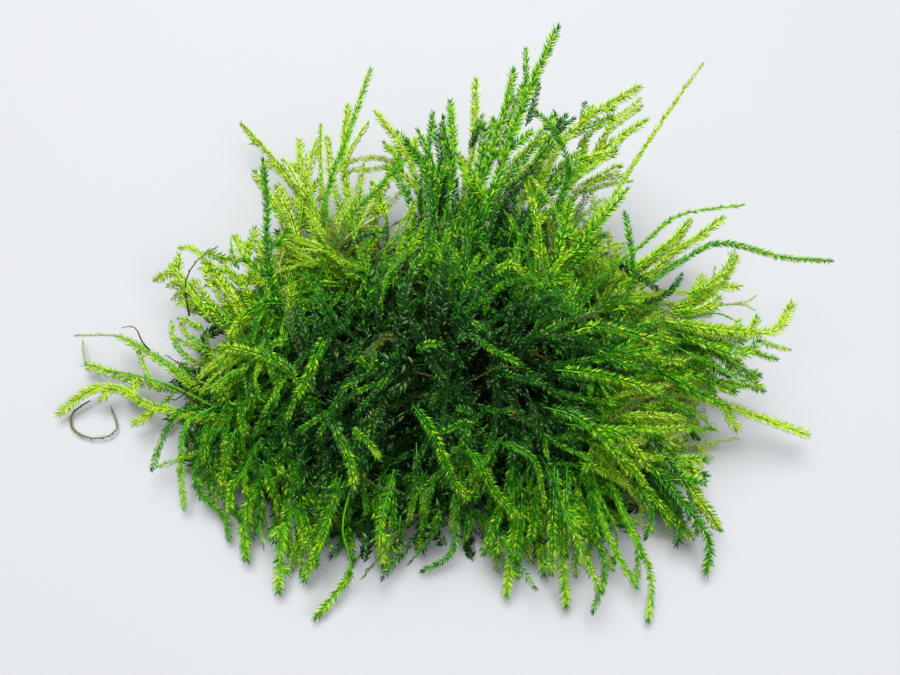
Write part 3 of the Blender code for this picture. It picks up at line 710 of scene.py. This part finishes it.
def moss_colour_group():
    """From a place on the map to the colour there: the tint, with painted shade at the leaf's base and
    painted light towards its tip.
    """
    group = bpy.data.node_groups.new("moss_colour", "ShaderNodeTree")
    group.interface.new_socket("Place", in_out="INPUT", socket_type="NodeSocketVector")
    group.interface.new_socket("Uneven", in_out="INPUT", socket_type="NodeSocketFloat")
    group.interface.new_socket("Colour", in_out="OUTPUT", socket_type="NodeSocketColor")
    nodes = group.nodes
    link = group.links.new
    inside = nodes.new("NodeGroupInput")
    outside = nodes.new("NodeGroupOutput")
    split = nodes.new("ShaderNodeSeparateXYZ")
    link(inside.outputs["Place"], split.inputs[0])
    tint = colour_ramp(nodes, TINT_SCALE)
    link(split.outputs["Y"], tint.inputs["Fac"])
    lighter = colour_ramp(nodes, [(place, (level,) * 3) for place, level in LEAF_SHADING_SCALE])
    link(split.outputs["X"], lighter.inputs["Fac"])
    # The limer a leaf, the less of the painted base shade it gets, down to half, as if lit through.
    thin = nodes.new("ShaderNodeMapRange")
    set_inputs(thin, From_Min=0.70, From_Max=0.92, To_Max=0.5)
    link(split.outputs["Y"], thin.inputs["Value"])
    evened = nodes.new("ShaderNodeMix")
    evened.data_type = "RGBA"
    set_inputs(evened, B=(1, 1, 1, 1))
    link(thin.outputs["Result"], evened.inputs["Factor"])
    link(lighter.outputs["Color"], evened.inputs["A"])
    stretch = nodes.new("ShaderNodeVectorMath")
    stretch.operation = "MULTIPLY"
    stretch.inputs[1].default_value = (3, 140, 1)
    link(inside.outputs["Place"], stretch.inputs[0])
    speckle = nodes.new("ShaderNodeTexNoise")
    set_inputs(speckle, Scale=1, Detail=1)
    link(stretch.outputs[0], speckle.inputs["Vector"])
    level = nodes.new("ShaderNodeMath")
    level.operation = "MULTIPLY_ADD"
    link(speckle.outputs["Fac"], level.inputs[0])
    link(inside.outputs["Uneven"], level.inputs[1])
    level.inputs[2].default_value = 0.75
    shade = nodes.new("ShaderNodeMix")
    shade.data_type = "RGBA"
    shade.blend_type = "MULTIPLY"
    set_inputs(shade, Factor=1)
    link(tint.outputs["Color"], shade.inputs["A"])
    link(evened.outputs["Result"], shade.inputs["B"])
    mottle = nodes.new("ShaderNodeVectorMath")
    mottle.operation = "SCALE"
    link(shade.outputs["Result"], mottle.inputs[0])
    link(level.outputs[0], mottle.inputs["Scale"])
    link(mottle.outputs[0], outside.inputs["Colour"])
    return group


def moss_material(name, group, uneven, roughness, coat):
    """Wet moss: the group's colour under a film of water."""
    material = bpy.data.materials.new(name)
    material.use_nodes = True
    nodes = material.node_tree.nodes
    link = material.node_tree.links.new
    shader = nodes["Principled BSDF"]
    place = nodes.new("ShaderNodeUVMap")
    place.uv_map = MAP
    colour = nodes.new("ShaderNodeGroup")
    colour.node_tree = group
    set_inputs(colour, Uneven=uneven)
    link(place.outputs["UV"], colour.inputs["Place"])
    link(colour.outputs["Colour"], shader.inputs["Base Color"])
    set_inputs(shader, Roughness=roughness, IOR=1.25)
    set_inputs(shader, Coat_Weight=coat, Coat_Roughness=0.08, Coat_IOR=WATER_IOR)
    return material


# ---------------- growing the clump


def tangle_surface():
    """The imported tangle's surface in mm: a tree to search it by, and its corners and areas."""
    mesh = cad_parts["inner_shoots"].data
    mesh.calc_loop_triangles()
    points = np.array([vert.co for vert in mesh.vertices]) / MM
    triangles = np.array([triangle.vertices[:] for triangle in mesh.loop_triangles])
    tree = BVHTree.FromPolygons(points.tolist(), triangles.tolist())
    corners = points[triangles]
    across = np.cross(corners[:, 1] - corners[:, 0], corners[:, 2] - corners[:, 0])
    areas = np.linalg.norm(across, axis=1)
    areas[corners[..., 2].max(axis=1) < 0.5] = 0
    return tree, corners, areas / areas.sum()


def random_place(surface):
    """A random place on the tangle's surface, equally likely all over it."""
    tree, corners, areas = surface
    triangle = corners[rng.choice(len(corners), p=areas)]
    spot = rng.dirichlet((1, 1, 1)) @ triangle
    near, normal, _, _ = tree.find_nearest(Vector(spot))
    return near, normal


def away_from(line, point):
    """The level direction and distance of this place from the nearest place on the line."""
    start, end = line
    run = end - start
    share = max(0.0, min(1.0, (point.xy - start).dot(run) / run.length_squared))
    lean = point.xy - (start + share * run)
    return Vector((lean.x, lean.y, 0)).normalized(), lean.length


def closeness(point, x, y, reach):
    """From 0 far from a place to 1 at it."""
    return math.exp(-(math.dist(point[:2], (x, y)) / reach) ** 2)


def gap_at(point):
    """From 0 on the tufts to 1 in the dark gaps between them."""
    small = 0.6 * float(eased(noise.noise(point / 8 + Vector((2, 9, 4))), 0.02, 0.45))
    return max(small, *(closeness(point, *gap) for gap in GAPS))


def tint_at(point, depth):
    """Dark in the middle of the clump, fresh green around it, and lime at the back and rim: partly older
    and younger growth, and partly painted shade in the middle and painted light shining through at the
    back and rim.
    """
    _, away = away_from(DARK_LINE, point)
    rim = eased(away, -4, 24)
    tint = 0.40 + 0.38 * rim
    sides = 0.16 * eased(-point.x, 4, 15) + 0.05 * eased(point.x, 12, 26)
    tint += (sides - 0.20 * math.exp(-(((point.x - 4) / 11) ** 2))) * eased(point.y, -2, 12)
    tint += 0.14 * eased(point.x, 18, 34) * eased(-point.y, 8, 20)
    for x, y, reach, darker in SHADED:
        tint -= darker * closeness(point, x, y, reach)
    tint += 0.06 * eased(-point.x, 15, 34) + 0.32 * eased(point.x, 27, 40)
    # Painted shade: darker the deeper a shoot lies, and darker in the gaps between the tufts.
    tint += 0.16 * noise.noise(point / 9) - (0.035 - 0.015 * rim) * depth - 0.16 * gap_at(point)
    return max(DARKEST_GREEN, float(tint))


def over_tangle(surface, point, heading, length, depth, sink, rise):
    """A line over the tangle's surface: its root is sunk in, and its tip stands off."""
    step = length / (LINE_POINTS - 1)
    position = point - heading * length * 0.5
    line = []
    free = False
    for index in range(LINE_POINTS):
        share = index / (LINE_POINTS - 1)
        near, normal, _, _ = surface[0].find_nearest(position)
        if free or (near.z < 3 and share > 0.3):
            if not free:
                outward, _ = away_from(PARTING, position)
                heading = (heading * 0.6 + outward * 0.8).normalized()
                free = True
            heading.z = heading.z * 0.6
            spot = line[-1] + heading * step
        else:
            height = rise * share**2 - sink * (1 - share) ** 1.5 - depth
            spot = near + normal * height
            heading = (heading - heading.dot(normal) * normal).normalized()
            position = near + heading * step
        spot.z = max(spot.z, LOWEST_LINE + 0.4 * depth)
        line.append(spot)
    return line


def stands_out(surface, spot):
    """Whether this place is outside the tangle."""
    near, normal, _, _ = surface[0].find_nearest(spot)
    return (spot - near).dot(normal) > 0


def short_shoots(surface, count, depths, lengths, order):
    """Short shoots over the tangle. They lean away from the parting as far as `order` says."""
    grown = []
    buried = depths[0] > DEEP
    for _ in range(count):
        point, normal = random_place(surface)
        if rng.uniform() < 0.5 * eased(point.y, 10, 20):
            continue
        outward, _ = away_from(PARTING, point)
        rim = float(eased(away_from(DARK_LINE, point)[1], 4, 24))
        right = float(eased(point.x, -12, 14))
        back = float(eased(point.y, 2, 20))
        lock = noise.noise(point / 11 + Vector((7, 3, 1)))
        heading = outward - outward.dot(normal) * normal
        loose = (1.9 - 1.3 * rim * right) * (1 - order) + 0.25
        swirl = Matrix.Rotation(1.3 * lock * (1.3 - right) + rng.normal(0, loose), 3, normal)
        heading = (swirl @ heading).normalized()
        depth = depths[0] + (depths[1] - depths[0]) * rng.uniform() ** 1.5
        depth += 6.0 * gap_at(point)
        line = over_tangle(
            surface, point, heading,
            length=rng.uniform(*lengths) * (0.7 + 0.3 * rim + 0.25 * rim * right),
            depth=depth,
            sink=rng.uniform(2, 5),
            rise=rng.uniform(0.5, 2.5) + back * rng.uniform(1, 6),
        )
        if any(math.dist(spot[:2], (x, y)) < reach for spot in line for x, y, reach in CLEAR):
            continue
        if buried and stands_out(surface, line[-1]):
            continue
        facing = normal * 0.8 + Vector((0, 0, 0.4)) + Vector(rng.normal(0, 0.35, 3))
        tint = max(DARKEST_GREEN, tint_at(point, depth) + rng.normal(0, 0.05))
        if rng.uniform() < YELLOW_SHARE:
            tint = rng.uniform(*YELLOW)
        kind = "short" if rng.uniform() < order * (0.35 + 0.65 * rim) else "fine"
        if buried:
            kind = "low"
        main = shoot(line, kind, tint, facing, bare=0.05, young=0.24 if tint > GLINT else 0.04)
        grown.append(main)
        if rng.uniform() < SIDE_SHOOT_SHARE:
            grown += side_shoots(main, rng.uniform(0.25, 0.7, 2), 6)
    return grown


def bottom_shoots(surface):
    """Darker shoots that lie low under the clump and close it against the floor: old growth, with painted
    shade from the clump above.
    """
    grown = []
    tree = surface[0]
    for x in np.arange(-44, 48, BOTTOM_SPACING):
        for y in np.arange(-34, 30, BOTTOM_SPACING):
            jitter = rng.uniform(-1.5, 1.5, 2)
            middle = Vector((x + jitter[0], y + jitter[1], rng.uniform(1.0, 6.0)))
            top, _, _, _ = tree.ray_cast(Vector((middle.x, middle.y, 60)), Vector((0, 0, -1)))
            if top is None or top.z < 6 or rng.uniform() < 0.6 * eased(middle.y, 10, 20):
                continue
            angle = rng.uniform(0, 2 * math.pi)
            run = Vector((math.cos(angle), math.sin(angle), rng.normal(0, 0.15)))
            sweep = Vector((-run.y, run.x, 0)) * rng.normal(0, 0.25)
            length = rng.uniform(9, 14)
            shares = np.linspace(-0.5, 0.5, 5)
            line = [middle + (run * share + sweep * share**2) * length for share in shares]
            facing = Vector((0, 0, 1)) + Vector(rng.normal(0, 0.3, 3))
            # Painted shade under the clump: as deep as the buried shoots, and darker still.
            tint = max(DARKEST_GREEN, tint_at(middle, 6.0) - 0.08 + rng.normal(0, 0.05))
            grown.append(shoot(line, "low", tint, facing, young=0.05))
    return grown


def companions(name, kind, tint, route):
    """Shorter shoots that grow beside a long one and fan out from its root."""
    grown = []
    root = np.array(route[0], float)
    for _ in range(COMPANIONS):
        turn = np.array(Matrix.Rotation(rng.normal(0, 0.24), 3, "Z"))
        line = smooth_route(route) - root
        line = line @ turn.T * rng.uniform(0.5, 0.85)
        line[:, 2] *= rng.uniform(0.7, 1.05)
        line += root + rng.normal(0, 1.6, 3)
        facing = np.array([0, -0.25, 1]) + rng.normal(0, 0.3, 3)
        there = min(tint, tint_at(Vector(line[len(line) // 2]), 0.0) + 0.08)
        grown.append(shoot(line, kind, there + rng.normal(-0.03, 0.04), facing, bare=0.1))
    return grown


def old_stalks(surface):
    """Wiry brown stalks that wander through the tangle and show in its gaps."""
    grown = []
    for _ in range(OLD_STALKS):
        point, _ = random_place(surface)
        spot = HEART.lerp(point, rng.uniform(0.4, 0.85))
        heading = Vector(rng.normal(0, 1, 3)).normalized()
        line = []
        for _ in range(rng.integers(7, 12)):
            line.append(spot.copy())
            heading = (heading + Vector(rng.normal(0, 0.35, 3))).normalized()
            near, normal, _, _ = surface[0].find_nearest(spot)
            if (spot - near).dot(normal) > -3.0:
                heading = (heading - 1.6 * normal).normalized()
            spot = spot + heading * OLD_STEP
            spot.z = max(spot.z, 0.8)
        grown.append(shoot(smooth_route(line), "old", rng.uniform(0.02, 0.10), bare=0.0, young=0))
    return grown


def facing_up():
    """The way the flat side of a shoot faces: up and a little to the front."""
    return np.array([0, -0.3, 1]) + rng.normal(0, 0.25, 3)


def long_shoot(kind, finish, route, bare):
    """A long shoot on its own route, with a few side shoots if it is a broad one."""
    facing = facing_up()
    line = smooth_route(route)
    main = shoot(line, kind, TINTS[finish], facing, bare=bare, detail=FINE, young=0.20)
    length = length_of(main["line"])
    spots = np.arange(0.25 + bare, 0.85, 4.5 / length) if kind == "feathery" else []
    spots = [spot + rng.uniform(-0.05, 0.05) for spot in spots if rng.uniform() < 0.55]
    return [main, *side_shoots(main, spots, 5.5)]


def nearest_tuft(line):
    """The tuft whose middle is nearest to the middle of this line."""
    middle = line[SAMPLES // 2]
    return min(TUFTS, key=lambda name: math.dist(middle[:2], TUFTS[name]))


def make_clump():
    group = moss_colour_group()
    wet = moss_material("wet_moss", group, uneven=0.5, roughness=0.5, coat=0.3)
    fresh = moss_material("fresh_moss", group, uneven=0.4, roughness=0.5, coat=0.2)
    wiry = moss_material("old_stalk", group, uneven=0.6, roughness=0.55, coat=0.2)
    finishes = {"deep_green": wet, "leaf_green": wet, "lime": fresh, "old_brown": wiry}
    tufts = {name: [] for name in TUFTS}
    surface = tangle_surface()
    for name, kind, finish, route in SHOOTS:
        leafy = long_shoot(kind, finish, route, BARE_FOOT.get(name, 0.05))
        piece = make_piece("leafy_" + name, leafy, finishes[finish])
        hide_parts(name)
        if finish != "old_brown" and name not in LONE:
            for grown in companions(name, kind, TINTS[finish], route):
                tufts[nearest_tuft(grown["line"])].append(grown)
    grown_all = short_shoots(surface, LEANING_SHOOTS, (-1.0, 3.0), (9, 16), order=0.9)
    grown_all += short_shoots(surface, TANGLED_SHOOTS, (0.0, 5.0), (6, 12), order=0.1)
    grown_all += short_shoots(surface, BURIED_SHOOTS, (4.0, 16.0), (8, 13), order=0.0)
    grown_all += bottom_shoots(surface)
    for grown in grown_all:
        tufts[nearest_tuft(grown["line"])].append(grown)
    for kind, tint, route in SMALL_SHOOTS:
        grown = shoot(smooth_route(route), kind, tint, facing_up(), bare=0.05)
        tufts[nearest_tuft(grown["line"])].append(grown)
    for name, grown in tufts.items():
        piece = make_piece("short_shoots_" + name, grown, wet)
        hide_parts("inner_shoots")
    piece = make_piece("old_stalks", old_stalks(surface), wiry)
    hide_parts("inner_shoots")


# ---------------- floor, light and camera


FLOOR_COLOUR = (0.41, 0.42, 0.44, 1)
SKY_COLOUR = (0.93, 0.96, 1.0, 1)
SKY_STRENGTH = 0.35
CAMERA_PLACE = (0.001, -0.0576, 0.130)  # metres
CAMERA_TILT = math.radians(25)  # from straight down
FOCAL_LENGTH = 34.8  # mm, on a sensor of 36 mm


def make_floor():
    floor_mesh = bpy.data.meshes.new("floor")
    shape = bmesh.new()
    bmesh.ops.create_grid(shape, x_segments=1, y_segments=1, size=2.0)
    shape.to_mesh(floor_mesh)
    shape.free()
    floor = bpy.data.objects.new("floor", floor_mesh)
    bpy.context.scene.collection.objects.link(floor)
    material = bpy.data.materials.new("pale_floor")
    material.use_nodes = True
    shader = material.node_tree.nodes["Principled BSDF"]
    set_inputs(shader, Base_Color=FLOOR_COLOUR, Roughness=0.7)
    floor.data.materials.append(material)


def add_light(name, place, size, watts, colour):
    """A square soft light that points at the clump."""
    lamp = bpy.data.lights.new(name, "AREA")
    lamp.size = size
    lamp.energy = watts
    lamp.color = colour
    light = bpy.data.objects.new(name, lamp)
    light.location = place
    light.rotation_euler = (-Vector(place)).to_track_quat("-Z", "Y").to_euler()
    bpy.context.scene.collection.objects.link(light)


def make_light():
    world = bpy.data.worlds.new("soft_sky")
    world.use_nodes = True
    background = world.node_tree.nodes["Background"]
    set_inputs(background, Color=SKY_COLOUR, Strength=SKY_STRENGTH)
    bpy.context.scene.world = world
    add_light("key", (-0.06, 0.22, 0.65), 0.5, 7.9, (1.0, 0.99, 0.97))
    add_light("fill", (0.35, -0.3, 0.5), 0.35, 1.8, (0.96, 0.98, 1.0))


def make_camera():
    lens = bpy.data.cameras.new("camera")
    lens.lens = FOCAL_LENGTH
    lens.sensor_width = 36
    lens.clip_start = 0.005
    camera = bpy.data.objects.new("camera", lens)
    camera.location = CAMERA_PLACE
    camera.rotation_euler = (CAMERA_TILT, 0, 0)
    bpy.context.scene.collection.objects.link(camera)
    bpy.context.scene.camera = camera
    bpy.context.scene.view_settings.view_transform = "Standard"


make_clump()
make_floor()
make_light()
make_camera()
